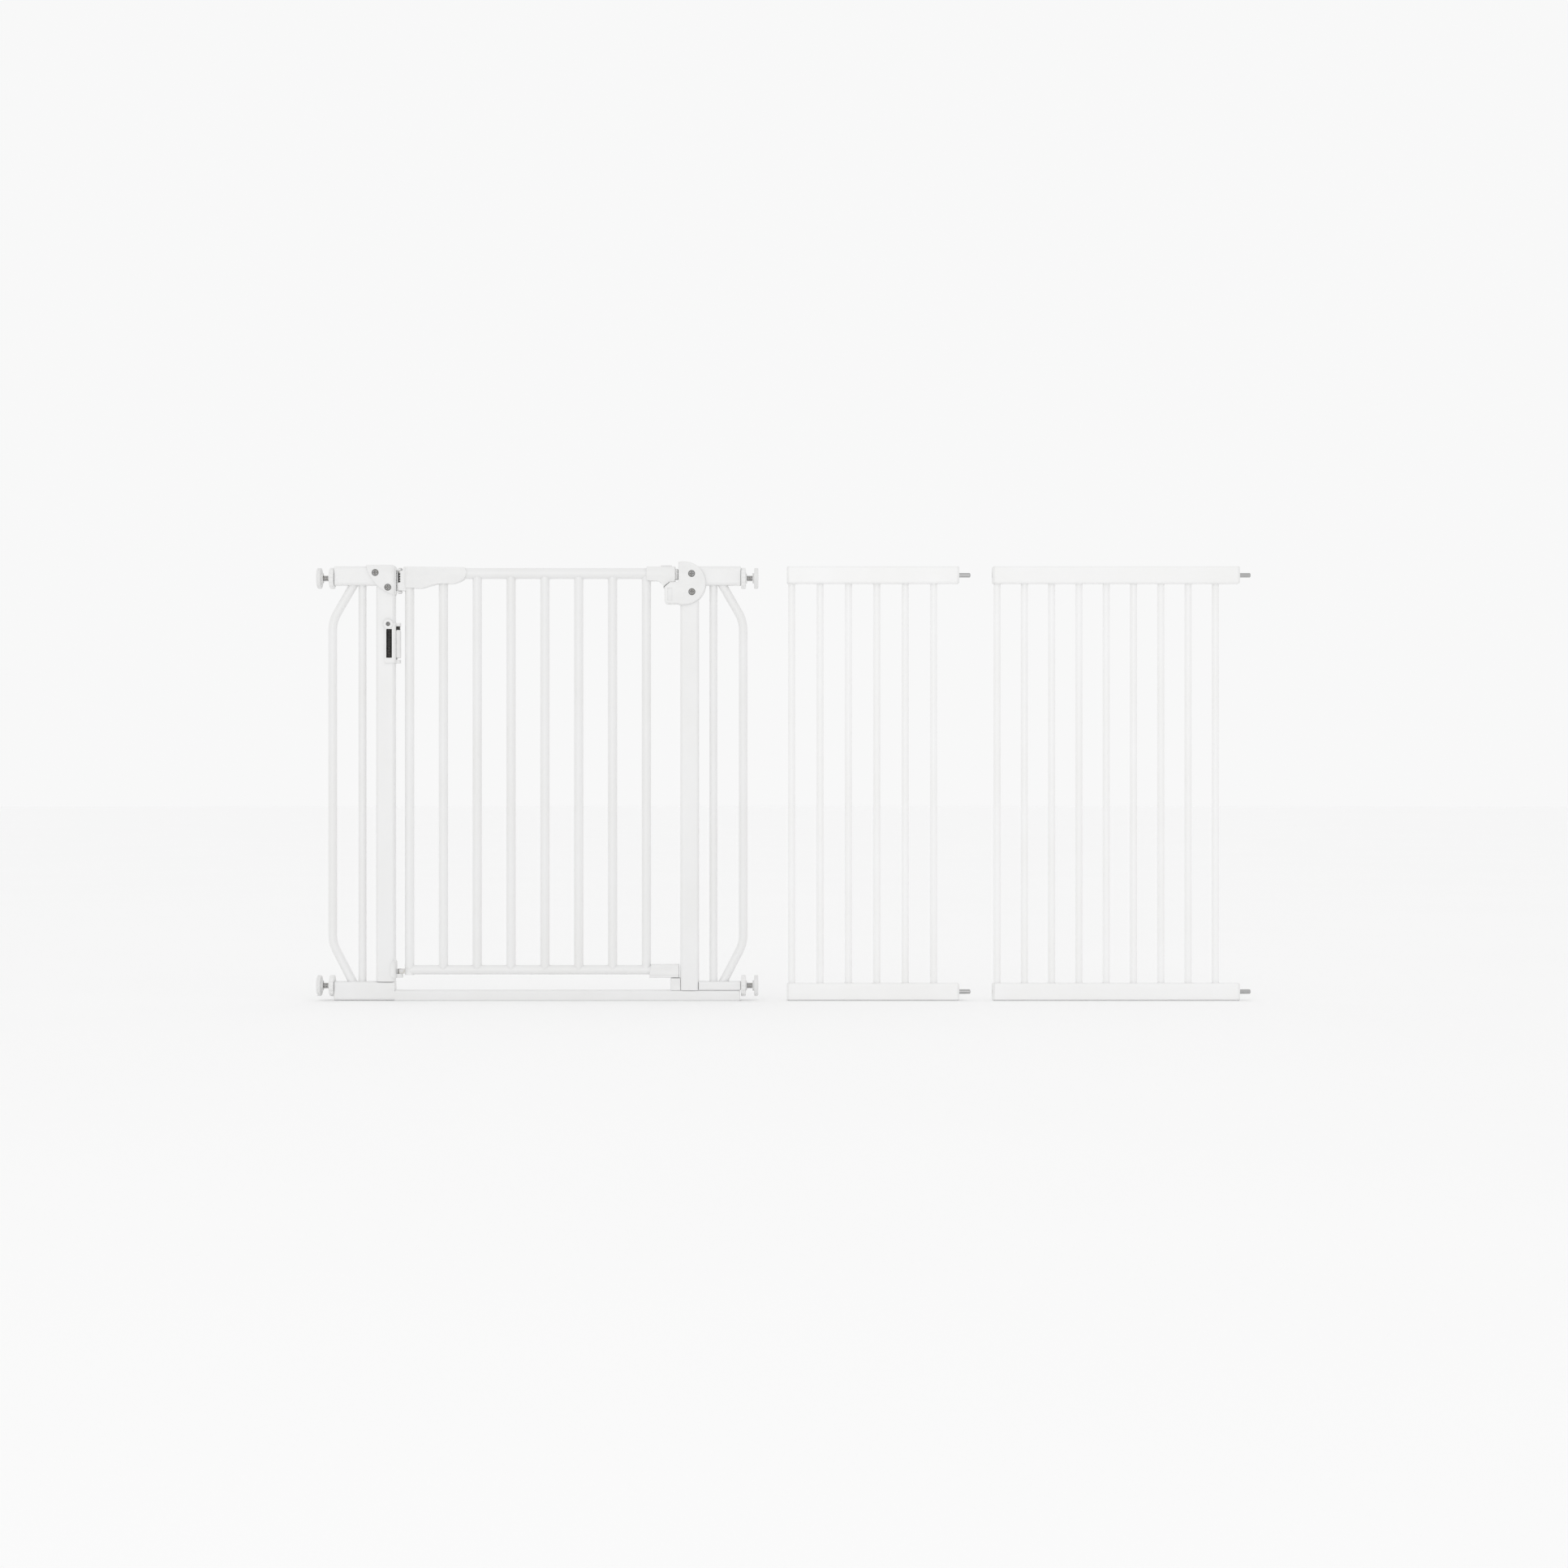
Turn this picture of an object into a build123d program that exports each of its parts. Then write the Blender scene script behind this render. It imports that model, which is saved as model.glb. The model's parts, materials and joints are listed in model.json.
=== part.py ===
from build123d import *
import math
import os

# Pressure-fit safety gate with a swinging door and two extension panels.
#
# Frame of the model: X runs along the row (gate on the left, panels on the right), the
# front of the gate faces -Y, Z is up.  The origin is on the floor, in the middle of the
# row's footprint.  All sizes are in millimetres.

# ---------------------------------------------------------------- driving dimensions
HEIGHT = 750.0             # floor to the top of the gate and of the panels
TUBE_DEPTH = 25.0          # front to back depth of every rectangular tube
TUBE_WALL = 1.5
TUBE_CORNER = 5.0
GATE_X = -425.5            # middle of the gate, in the row's frame

# U-shaped frame of the gate; x values below are measured from the gate's middle
POST_WIDTH = 32.0
POST_OFFSET = 262.5        # gate middle to the middle of each post
ARM_HEIGHT = 33.0
ARM_END = 349.0            # gate middle to the end of the arm's tube
THRESHOLD_HEIGHT = 18.0
FOOT_HEIGHT = 33.0
POST_INNER = POST_OFFSET - POST_WIDTH / 2
POST_OUTER = POST_OFFSET + POST_WIDTH / 2

HOOP_RADIUS = 7.5
HOOP_OFFSET = 355.0
HOOP_WALL = 1.2
HOOP_BEND = 60.0
HOOP_TOP_X = 316.2         # where the hoop's middle line goes into the arm and the foot
HOOP_FOOT_X = 317.8
HOOP_CORNERS_Z = (99.0, 656.0)
SIDE_BAR_RADIUS = 6.8
SIDE_BAR_OFFSET = 303.5

# pressure spindles, one at each corner of the frame
WALL_OFFSET = 381.0        # gate middle to the outer face of the pads
SPINDLE_RADIUS = 5.0
SPINDLE_LENGTH = 58.0
SPINDLE_TOP_Z = 729.5
SPINDLE_LOW_Z = 25.5
RUNNING_CLEARANCE = 0.08   # radial, between a turning or sliding pair
PAD_RADIUS = 18.0
PAD_THICKNESS = 7.0
PAD_HUB_LENGTH = 3.0
PAD_SOCKET_DEPTH = 5.0
WHEEL_RADIUS = 18.5
WHEEL_THICKNESS = 8.0
WHEEL_HUB_LENGTH = 2.0
WHEEL_GAP = 0.4
WHEEL_NOTCHES = 12
FLANGE_THICKNESS = 2.0
PLUG_LENGTH = 13.0

# door
AXIS_GAP = 8.0             # face of the hinge post to the hinge axis
AXIS_X = -POST_INNER + AXIS_GAP
STILE_GAP = 16.5           # hinge axis to the middle of the hinge stile
STILE_X = AXIS_X + STILE_GAP
BAR_PITCH = 58.5
BAR_COUNT = 7
BAR_RADIUS = 8.0
BAR_WALL = 1.0
TOP_RAIL_RADIUS = 9.5
TOP_RAIL_Z = 738.0
TOP_RAIL_WALL = 1.2
TOP_RAIL_ENDS = (STILE_X - 3.0, 206.0)
BOTTOM_RAIL_RADIUS = 8.2
BOTTOM_RAIL_Z = 52.8
BOTTOM_RAIL_ENDS = (STILE_X - 3.0, 215.0)
STILE_FOOT_Z = 44.0        # the stile runs a little past the bottom rail

# hinges
PIN_RADIUS = 2.5
EYE_RADIUS = 4.4
SPRING_COIL_RADIUS = 3.4
SPRING_WIRE_RADIUS = 0.7
SPRING_PITCH = 4.2
SPRING_TURNS = 6
SPRING_START_Z = 712.6
UPPER_PIN_Z = (703.0, 747.5)
LOWER_PIN_Z = (39.5, 53.5)
UPPER_EYES_Z = [(708.0, 711.6), (739.2, 742.8)]
LOWER_EYE_Z = (46.3, 54.6)
CAP_HALF = TUBE_DEPTH / 2 + 3.0
CAP_LIP = 1.0
CAP_CORNER = 10.0
SLEEVE_HALF = 11.5
SLEEVE_NOSE_HALF = 5.8
SLEEVE_NOSE_GAP = 4.6      # hinge axis to the sleeve's nose
SLEEVE_STILE_RADIUS = 9.9
KNUCKLE_INSIDE = 4.9       # half of the hollow that the upper eyes and the spring turn in
KNUCKLE_Z = (708.0, 742.8)
KNUCKLE_WINDOW_X = (-241.4, -237.2)
KNUCKLE_WINDOW_Z = (722.0, 742.0)

# spring unit on the hinge post that holds the door open
WRAP_WALL = 2.0
CLOSER_Z = (582.7, 652.2)
CLOSER_LEFT_X = -263.0
CLOSER_SPRING_X = -255.5
CLOSER_SPRING_Z = (592.0, 641.0)
CLOSER_SPRING_RADIUS = 4.6
CLOSER_SPRING_Y = -9.6
CLOSER_SPRING_TURNS = 22
BARREL_RADIUS = 6.3
BARREL_X = -243.0
BARREL_Z = (591.5, 640.0)
BARREL_SLOT_X = -252.2     # how far the slot for the bar reaches into the post
BARREL_SLOT_Z = (588.8, 646.5)
BARREL_COIL_RADIUS = 5.0
BARREL_COIL_TURNS = 3
BOSS_X = -257.0
BOSS_Z = 650.0
BOSS_RADIUS = 8.0
CLOSER_FACE_Y = -TUBE_DEPTH / 2 - WRAP_WALL - 1.5   # front of the screw boss

# latch
HOUSING_RADIUS = 37.5
HOUSING_CENTRE = (253.0, 720.5)
HOUSING_DEPTH = 17.5       # half of the housing's front to back size
HOUSING_FACE_X = 243.4     # face that the door's handle closes against
HOUSING_BOX_X = 219.5
HOUSING_BOX_Z = (685.2, 722.5)
HOUSING_WALL = 2.5
HANDLE_LEFT_X = 188.2
HANDLE_RIGHT_X = 237.4
HANDLE_TOP_Z = 749.4
HANDLE_HALF = 11.5
HANDLE_GAP = 0.5
BOLT_Z = (727.5, 745.5)
BOLT_HALF = 8.0
BOLT_X = (214.0, 242.6)
BOLT_TRAVEL = 6.0
BOLT_SPRING_PITCH = 1.9
BOLT_SPRING_TURNS = 8
FIT_GAP = 0.3
SLIDER_X = (212.5, 231.5)
SLIDER_HALF = 5.5
SLIDER_HEIGHT = 2.2
STEM_X = (219.0, 223.0)
STEM_HALF = 2.0
SHELL_SCREW_HEAD = 3.0

END_CAP_X = (196.6, 244.0)
END_CAP_Z = (39.5, 62.5)
END_CAP_HALF = 10.0
CATCH_X = (229.5, POST_INNER)
CATCH_TOP = 38.8
CATCH_HALF = 11.0

# cross-head screws; a place is the x and z of a head's middle
SCREW_HEAD_RADIUS = 5.6
SCREW_HEAD_HEIGHT = 2.4
SCREW_SHANK_RADIUS = 2.0
SCREW_SHANK_LENGTH = 8.0
SCREW_SEAT_DEPTH = 1.6
CAP_SCREWS = [(-279.3, 738.5), (-257.6, 713.2)]
HOUSING_SCREWS = [(266.3, 736.7), (266.8, 705.3)]
CLOSER_SCREW_HEAD = 3.4

# extension panels; x values are measured from the left end of each panel
PANEL_RAIL_HEIGHT = 30.0
PANEL_BAR_RADIUS = 6.1
PANEL_BAR_WALL = 1.0
PANEL_CORNER = 4.0
PANEL_CAP_THICKNESS = 4.0
PANEL_PLUG_LENGTH = 24.0
PANEL_PIN_RADIUS = 4.0
PANEL_SHANK_RADIUS = 4.5   # thicker part of a pin that sits in its holder
PANEL_PIN_REACH = 19.5
PANEL_SOCKET_RADIUS = 4.3
PANEL_SOCKET_DEPTH = 21.0
FIRST_BAR_X = 8.3
PANELS = {
    "a": {"x": 5.0, "length": 297.6, "bars": 6, "pitch": 49.1},
    "b": {"x": 360.2, "length": 426.8, "bars": 9, "pitch": 47.2},
}


# ---------------------------------------------------------------- helpers
def box(x_range, y_range, z_range):
    """Axis-aligned block between the given limits."""
    size = [high - low for low, high in (x_range, y_range, z_range)]
    middle = [(high + low) / 2 for low, high in (x_range, y_range, z_range)]
    return Pos(*middle) * Box(*size)


def rod_x(x_range, radius, y=0.0, z=0.0):
    """Round rod along X."""
    face = Plane.YZ.offset(x_range[0]) * Pos(y, z) * Circle(radius)
    return extrude(face, x_range[1] - x_range[0])


def rod_y(y_range, radius, x, z):
    """Round rod along Y."""
    middle = (y_range[0] + y_range[1]) / 2
    rod = Cylinder(radius, y_range[1] - y_range[0])
    return Pos(x, middle, z) * Rot(90, 0, 0) * rod


def rod_z(z_range, radius, x, y=0.0):
    """Round rod along Z."""
    face = Plane.XY.offset(z_range[0]) * Pos(x, y) * Circle(radius)
    return extrude(face, z_range[1] - z_range[0])


def rounded_x(x_range, z_range, depth, radius):
    """Rounded rectangular bar along X."""
    height = z_range[1] - z_range[0]
    middle = (z_range[0] + z_range[1]) / 2
    face = Plane.YZ.offset(x_range[0]) * Pos(0, middle) * RectangleRounded(depth, height, radius)
    return extrude(face, x_range[1] - x_range[0])


def rounded_z(z_range, x, width, depth, radius):
    """Rounded rectangular bar along Z."""
    face = Plane.XY.offset(z_range[0]) * Pos(x, 0) * RectangleRounded(width, depth, radius)
    return extrude(face, z_range[1] - z_range[0])


def tube_x(x_range, z_range, corner=TUBE_CORNER):
    """Rectangular tube along X, open at both ends."""
    outer = rounded_x(x_range, z_range, TUBE_DEPTH, corner)
    inner_z = (z_range[0] + TUBE_WALL, z_range[1] - TUBE_WALL)
    return outer - rounded_x(x_range, inner_z, TUBE_DEPTH - 2 * TUBE_WALL, corner - TUBE_WALL)


def front_solid(outline, depth):
    """Solid between the middle plane and y = -depth, from an outline seen from the front."""
    return extrude(Plane.XZ * outline, depth)


def both(piece):
    """The piece and its mirror image on the other side of the gate's middle."""
    return [piece, mirror(piece, about=Plane.YZ)]


def back_of(front):
    """Back shell that matches a front shell."""
    return mirror(front, about=Plane.XZ)


def largest(shape):
    """The main solid of a cut shape."""
    return max(shape.solids(), key=lambda solid: solid.volume)


# ---------------------------------------------------------------- gate frame
def post_outer(side):
    """Outer form of a post, used to cut the pieces that wrap or meet it."""
    return rounded_z((0, HEIGHT), side * POST_OFFSET, POST_WIDTH, TUBE_DEPTH, TUBE_CORNER)


def arm_outer(side):
    """Outer form of a top arm, from the middle of its post outwards."""
    x_range = sorted((side * POST_OFFSET, side * ARM_END))
    return rounded_x(x_range, (HEIGHT - ARM_HEIGHT, HEIGHT), TUBE_DEPTH, TUBE_CORNER)


def post(side, foot_z):
    """Upright tube of the frame."""
    z_range = (foot_z, HEIGHT)
    outer = rounded_z(z_range, side * POST_OFFSET, POST_WIDTH, TUBE_DEPTH, TUBE_CORNER)
    width = POST_WIDTH - 2 * TUBE_WALL
    depth = TUBE_DEPTH - 2 * TUBE_WALL
    inner = rounded_z(z_range, side * POST_OFFSET, width, depth, TUBE_CORNER - TUBE_WALL)
    return outer - inner


def hinge_post():
    tube = post(-1, FOOT_HEIGHT)
    window = spring_window((-TUBE_DEPTH, CLOSER_SPRING_Y + CLOSER_SPRING_RADIUS))
    return tube - window - barrel_slot() - screw_shanks(CAP_SCREWS + [(BOSS_X, BOSS_Z)])


def latch_post():
    return post(1, THRESHOLD_HEIGHT) - screw_shanks(HOUSING_SCREWS)


def top_arms():
    """Short tubes at the top of the frame, outside the posts."""
    arm = tube_x((-ARM_END, -POST_OFFSET), (HEIGHT - ARM_HEIGHT, HEIGHT)) - post_outer(-1)
    left = largest(arm)
    return [left - screw_shanks(CAP_SCREWS), mirror(left, about=Plane.YZ)]


def left_foot_rail():
    """Foot of the hinge side; the post stands on its inner end."""
    outer = rounded_x((-ARM_END, -POST_INNER), (0, FOOT_HEIGHT), TUBE_DEPTH, TUBE_CORNER)
    inner = rounded_x(
        (-ARM_END, -POST_INNER - TUBE_WALL),
        (TUBE_WALL, FOOT_HEIGHT - TUBE_WALL),
        TUBE_DEPTH - 2 * TUBE_WALL,
        TUBE_CORNER - TUBE_WALL,
    )
    return outer - inner


def right_foot_rail():
    """Spindle tube of the latch side; it lies on the threshold."""
    return tube_x((POST_OUTER, ARM_END), (THRESHOLD_HEIGHT, FOOT_HEIGHT), corner=3.0)


def threshold_rail():
    """Low bar that joins the posts under the doorway."""
    x_range = (-POST_INNER, ARM_END)
    bar = box(x_range, (-TUBE_DEPTH / 2, TUBE_DEPTH / 2), (0, THRESHOLD_HEIGHT))
    long_edges = bar.edges().filter_by(Axis.X)
    bar = fillet(long_edges.group_by(Axis.Z)[-1], 4.0)
    bar = fillet(bar.edges().filter_by(Axis.X).group_by(Axis.Z)[0], 1.5)
    cavity = rounded_x(
        (x_range[0] + TUBE_WALL, x_range[1] - TUBE_WALL),
        (TUBE_WALL, THRESHOLD_HEIGHT - TUBE_WALL),
        TUBE_DEPTH - 2 * TUBE_WALL,
        2.5,
    )
    return bar - cavity


def side_hoop():
    """Bent tube outside the left post, from the arm down to the foot."""
    path = FilletPolyline(
        (-HOOP_TOP_X, 0, HEIGHT - ARM_HEIGHT + 6),
        (-HOOP_OFFSET, 0, HOOP_CORNERS_Z[1]),
        (-HOOP_OFFSET, 0, HOOP_CORNERS_Z[0]),
        (-HOOP_FOOT_X, 0, FOOT_HEIGHT - 6),
        radius=HOOP_BEND,
    )
    start = Plane(origin=path @ 0, z_dir=path % 0)
    outer = sweep(start * Circle(HOOP_RADIUS), path=path)
    inner = sweep(start * Circle(HOOP_RADIUS - HOOP_WALL), path=path)
    tube = outer - inner
    reach = (-ARM_END, -POST_OUTER)
    tube = tube - rounded_x(reach, (HEIGHT - ARM_HEIGHT, HEIGHT), TUBE_DEPTH, TUBE_CORNER)
    tube = tube - rounded_x(reach, (0, FOOT_HEIGHT), TUBE_DEPTH, TUBE_CORNER)
    return largest(tube)


def side_bars():
    z_range = (FOOT_HEIGHT, HEIGHT - ARM_HEIGHT)
    outer = rod_z(z_range, SIDE_BAR_RADIUS, -SIDE_BAR_OFFSET)
    inner = rod_z(z_range, SIDE_BAR_RADIUS - BAR_WALL, -SIDE_BAR_OFFSET)
    return both(outer - inner)


def spindle_bushing(z_range, spindle_z, corner):
    """Plastic plug in the end of a tube, bored for the spindle."""
    flange = rounded_x((-ARM_END - FLANGE_THICKNESS, -ARM_END), z_range, TUBE_DEPTH, corner)
    flange = fillet(flange.faces().sort_by(Axis.X)[0].edges(), 1.2)
    inside = TUBE_WALL + 0.05
    plug = rounded_x(
        (-ARM_END, -ARM_END + PLUG_LENGTH),
        (z_range[0] + inside, z_range[1] - inside),
        TUBE_DEPTH - 2 * inside,
        corner - inside,
    )
    bore = rod_x(
        (-ARM_END - FLANGE_THICKNESS, -ARM_END + PLUG_LENGTH),
        SPINDLE_RADIUS + RUNNING_CLEARANCE,
        z=spindle_z,
    )
    return flange + plug - bore


def spindle_bushings():
    top = both(spindle_bushing((HEIGHT - ARM_HEIGHT, HEIGHT), SPINDLE_TOP_Z, TUBE_CORNER))
    low_left = spindle_bushing((0, FOOT_HEIGHT), SPINDLE_LOW_Z, TUBE_CORNER)
    low_right = spindle_bushing((THRESHOLD_HEIGHT, FOOT_HEIGHT), SPINDLE_LOW_Z, 3.0)
    return top + [low_left, mirror(low_right, about=Plane.YZ)]


# ---------------------------------------------------------------- pressure spindles
def spindle(z):
    """Threaded rod of a left-hand corner, drawn at its major diameter."""
    start = -WALL_OFFSET + PAD_THICKNESS + PAD_HUB_LENGTH - PAD_SOCKET_DEPTH
    rod = rod_x((start, start + SPINDLE_LENGTH), SPINDLE_RADIUS, z=z)
    return chamfer(rod.edges().sort_by(Axis.X)[-1], 1.0)


def wall_pad(z):
    """Soft-faced disc that presses on the wall."""
    disc = rod_x((-WALL_OFFSET, -WALL_OFFSET + PAD_THICKNESS), PAD_RADIUS, z=z)
    disc = fillet(disc.edges().filter_by(GeomType.CIRCLE), 1.8)
    hub_start = -WALL_OFFSET + PAD_THICKNESS
    hub = rod_x((hub_start, hub_start + PAD_HUB_LENGTH), SPINDLE_RADIUS + 4.0, z=z)
    socket_end = hub_start + PAD_HUB_LENGTH
    socket = rod_x((socket_end - PAD_SOCKET_DEPTH, socket_end), SPINDLE_RADIUS, z=z)
    return disc + hub - socket


def hand_wheel(z):
    """Notched wheel nut that drives the spindle outwards."""
    face_x = -ARM_END - FLANGE_THICKNESS - WHEEL_GAP
    disc = rod_x((face_x - WHEEL_THICKNESS, face_x), WHEEL_RADIUS, z=z)
    disc = fillet(disc.edges().filter_by(GeomType.CIRCLE), 1.5)
    for index in range(WHEEL_NOTCHES):
        angle = 2 * math.pi * index / WHEEL_NOTCHES
        reach = WHEEL_RADIUS + 1.6
        notch_y = reach * math.cos(angle)
        notch_z = z + reach * math.sin(angle)
        disc = disc - rod_x((face_x - WHEEL_THICKNESS, face_x), 3.0, y=notch_y, z=notch_z)
    hub_x = face_x - WHEEL_THICKNESS
    hub = rod_x((hub_x - WHEEL_HUB_LENGTH, hub_x), SPINDLE_RADIUS + 3.5, z=z)
    bore = rod_x((hub_x - WHEEL_HUB_LENGTH, face_x), SPINDLE_RADIUS + RUNNING_CLEARANCE, z=z)
    return disc + hub - bore


# ---------------------------------------------------------------- screws
def screw_shanks(places):
    """Clearance for the shanks of screws driven in from the front."""
    front = -HOUSING_DEPTH - 1
    shanks = [rod_y((front, front + 20), SCREW_SHANK_RADIUS, x, z) for x, z in places]
    return Part() + shanks


def screw_holes(places, face_y, head_radius):
    """Counterbored holes for screws in a front face."""
    seat_y = (face_y - 5, face_y + SCREW_SEAT_DEPTH)
    seats = [rod_y(seat_y, head_radius + FIT_GAP, x, z) for x, z in places]
    return screw_shanks(places) + seats


def cross_head_screw(x, z, face_y, head_radius):
    """Screw with a domed head and a cross recess; its head stands in a seat."""
    seat_y = face_y + SCREW_SEAT_DEPTH
    head = rod_y((seat_y - SCREW_HEAD_HEIGHT, seat_y), head_radius, x, z)
    head = fillet(head.edges().sort_by(Axis.Y)[0], 1.2)
    shank = rod_y((seat_y, seat_y + SCREW_SHANK_LENGTH), SCREW_SHANK_RADIUS, x, z)
    slot = head_radius * 0.62
    recess_y = (seat_y - SCREW_HEAD_HEIGHT - 1, seat_y - 1.0)
    across = box((x - slot, x + slot), recess_y, (z - 0.7, z + 0.7))
    upright = box((x - 0.7, x + 0.7), recess_y, (z - slot, z + slot))
    return head + shank - across - upright


def cross_head_screws():
    screws = [cross_head_screw(x, z, -CAP_HALF, SCREW_HEAD_RADIUS) for x, z in CAP_SCREWS]
    screws += [cross_head_screw(x, z, -HOUSING_DEPTH, SCREW_HEAD_RADIUS) for x, z in HOUSING_SCREWS]
    screws.append(cross_head_screw(BOSS_X, BOSS_Z, CLOSER_FACE_Y, CLOSER_SCREW_HEAD))
    return screws


# ---------------------------------------------------------------- upper hinge
def hinge_cap():
    """Front half of the quarter-round cover over the corner of the arm and the hinge post."""
    lip_x = -POST_INNER + CAP_LIP
    top = HEIGHT + 2.0
    outline = make_face([
        Line((-295, top), (lip_x - 5, top)),
        RadiusArc((lip_x - 5, top), (lip_x, top - 5), 5),
        Line((lip_x, top - 5), (lip_x, 700)),
        ThreePointArc((lip_x, 700), (-272.3, 713.8), (-295, top)),
    ])
    blank = front_solid(outline, CAP_HALF)
    plan = rounded_z((650, 800), lip_x - 40, 80, 2 * CAP_HALF, CAP_CORNER)
    left_flat = box((-320, lip_x - 20), (-CAP_HALF, 0), (650, 800))
    blank = blank & (plan + left_flat)
    return largest(blank - post_outer(-1) - arm_outer(-1) - upper_hinge_bracket_blank())


def upper_hinge_bracket_blank():
    """Steel plate with two lugs that carry the upper hinge pin."""
    plate = box((-POST_INNER, -POST_INNER + 1.8), (-6.5, 6.5), (702, 748))
    lugs = []
    for low in (704.0, 743.4):
        reach = box((-POST_INNER + 1.8, AXIS_X), (-4.2, 4.2), (low, low + 3.0))
        lugs.append(reach + rod_z((low, low + 3.0), 4.2, AXIS_X))
    return plate + lugs


def upper_hinge_bracket():
    return upper_hinge_bracket_blank() - rod_z(UPPER_PIN_Z, PIN_RADIUS, AXIS_X)


def hinge_pins():
    pins = [rod_z(UPPER_PIN_Z, PIN_RADIUS, AXIS_X), rod_z(LOWER_PIN_Z, PIN_RADIUS, AXIS_X)]
    return [chamfer(pin.edges().sort_by(Axis.Z)[-1], 0.6) for pin in pins]


def hinge_torsion_spring():
    """Coil around the upper pin that swings the door shut."""
    winding = Helix(SPRING_PITCH, SPRING_PITCH * SPRING_TURNS, SPRING_COIL_RADIUS)
    path = Pos(AXIS_X, 0, SPRING_START_Z) * winding
    start = Plane(origin=path @ 0, z_dir=path % 0)
    return sweep(start * Circle(SPRING_WIRE_RADIUS), path=path, is_frenet=True)


def door_hinge_eyes():
    """Three steel eyes of the door: two on the upper pin, one on the lower."""
    stile = rod_z((0, TOP_RAIL_Z), BAR_RADIUS, STILE_X)
    bore = rod_z((0, HEIGHT), PIN_RADIUS + RUNNING_CLEARANCE, AXIS_X)
    eyes = []
    for z_range in UPPER_EYES_Z + [LOWER_EYE_Z]:
        arm = box((AXIS_X, TOP_RAIL_ENDS[0]), (-EYE_RADIUS, EYE_RADIUS), z_range) - stile
        eyes.append(arm + rod_z(z_range, EYE_RADIUS, AXIS_X) - bore)
    return eyes


def hinge_sleeve():
    """Front half of the moulded cover over the upper hinge and the end of the door's top rail."""
    nose_x = AXIS_X + SLEEVE_NOSE_GAP
    outline = make_face([
        Line((nose_x, 746.5), (nose_x + 3, 749.5)),
        Line((nose_x + 3, 749.5), (-126.3, 748.3)),
        Line((-126.3, 748.3), (-121.8, 739.2)),
        Line((-121.8, 739.2), (-126.3, 729.0)),
        ThreePointArc((-126.3, 729.0), (-137.5, 722.6), (-148.0, 720.0)),
        Line((-148.0, 720.0), (-172.0, 720.0)),
        ThreePointArc((-172.0, 720.0), (-186.0, 716.4), (-200.0, 712.0)),
        Line((-200.0, 712.0), (nose_x + 6, 713.0)),
        Line((nose_x + 6, 713.0), (nose_x, 717.0)),
        Line((nose_x, 717.0), (nose_x, 746.5)),
    ])
    blank = front_solid(outline, SLEEVE_HALF)
    z_range = (700, 760)
    knuckle = rod_z(KNUCKLE_Z, SLEEVE_NOSE_HALF, AXIS_X)
    knuckle = knuckle & box((AXIS_X - 10, AXIS_X), (-10, 0), KNUCKLE_Z)
    knuckle = knuckle + box((AXIS_X, STILE_X), (-SLEEVE_NOSE_HALF, 0), KNUCKLE_Z)
    nose = box((nose_x, STILE_X), (-SLEEVE_NOSE_HALF, 0), z_range)
    around_stile = rod_z(z_range, SLEEVE_STILE_RADIUS, STILE_X)
    taper = make_face(Polyline(
        (STILE_X, 0),
        (STILE_X, -SLEEVE_STILE_RADIUS),
        (STILE_X + 9, -SLEEVE_HALF),
        (-130, -SLEEVE_HALF),
        (-115, -SLEEVE_HALF + 1.2),
        (-115, 0),
        (STILE_X, 0),
    ))
    body = extrude(Plane.XY.offset(z_range[0]) * taper, z_range[1] - z_range[0])
    shell = (blank & (nose + around_stile + body)) + knuckle
    shell = shell - rod_x((TOP_RAIL_ENDS[0], 0), TOP_RAIL_RADIUS, z=TOP_RAIL_Z)
    shell = shell - door_uprights_outer()
    shell = shell - box((AXIS_X, TOP_RAIL_ENDS[0]), (-KNUCKLE_INSIDE, 0), (707, 747))
    return largest(shell - rod_z(KNUCKLE_Z, KNUCKLE_INSIDE, AXIS_X))


def knuckle_window():
    """Slot in the front of the knuckle, which shows the spring."""
    return box(KNUCKLE_WINDOW_X, (-SLEEVE_NOSE_HALF - 1, -SPRING_COIL_RADIUS), KNUCKLE_WINDOW_Z)


# ---------------------------------------------------------------- lower hinge
def wrap(z_range, start_x):
    """Band that wraps the inner side of the hinge post, from start_x round to the back."""
    width = POST_WIDTH + 2 * WRAP_WALL
    depth = TUBE_DEPTH + 2 * WRAP_WALL
    band = rounded_z(z_range, -POST_OFFSET, width, depth, TUBE_CORNER + WRAP_WALL)
    band = band - post_outer(-1)
    return band & box((start_x, 0), (-depth, depth), z_range)


def lower_hinge_bracket():
    """Moulded bracket that carries the lower hinge pin."""
    edge = -POST_INNER + WRAP_WALL
    outline = make_face(Polyline(
        (-253, 44), (-253, 64), (-247.5, 70), (edge, 67), (edge, 39), (-248, 39), (-253, 44),
    ))
    through = front_solid(outline, 2 * TUBE_DEPTH).moved(Pos(0, TUBE_DEPTH, 0))
    band = wrap((39.0, 70.0), -253.0) & through
    lug_z = (39.0, LOWER_EYE_Z[0] - FIT_GAP)
    lug = box((edge, AXIS_X), (-5, 5), lug_z) + rod_z(lug_z, 5, AXIS_X)
    return band + lug - rod_z((LOWER_PIN_Z[0], 60), PIN_RADIUS, AXIS_X)


# ---------------------------------------------------------------- hold-open unit
def spring_window(y_range):
    """Opening in the hinge post and its bracket that shows the hold-open spring."""
    half = CLOSER_SPRING_RADIUS + FIT_GAP
    x_range = (CLOSER_SPRING_X - half, CLOSER_SPRING_X + half)
    return box(x_range, y_range, (CLOSER_SPRING_Z[0] - FIT_GAP, CLOSER_SPRING_Z[1] + FIT_GAP))


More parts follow.
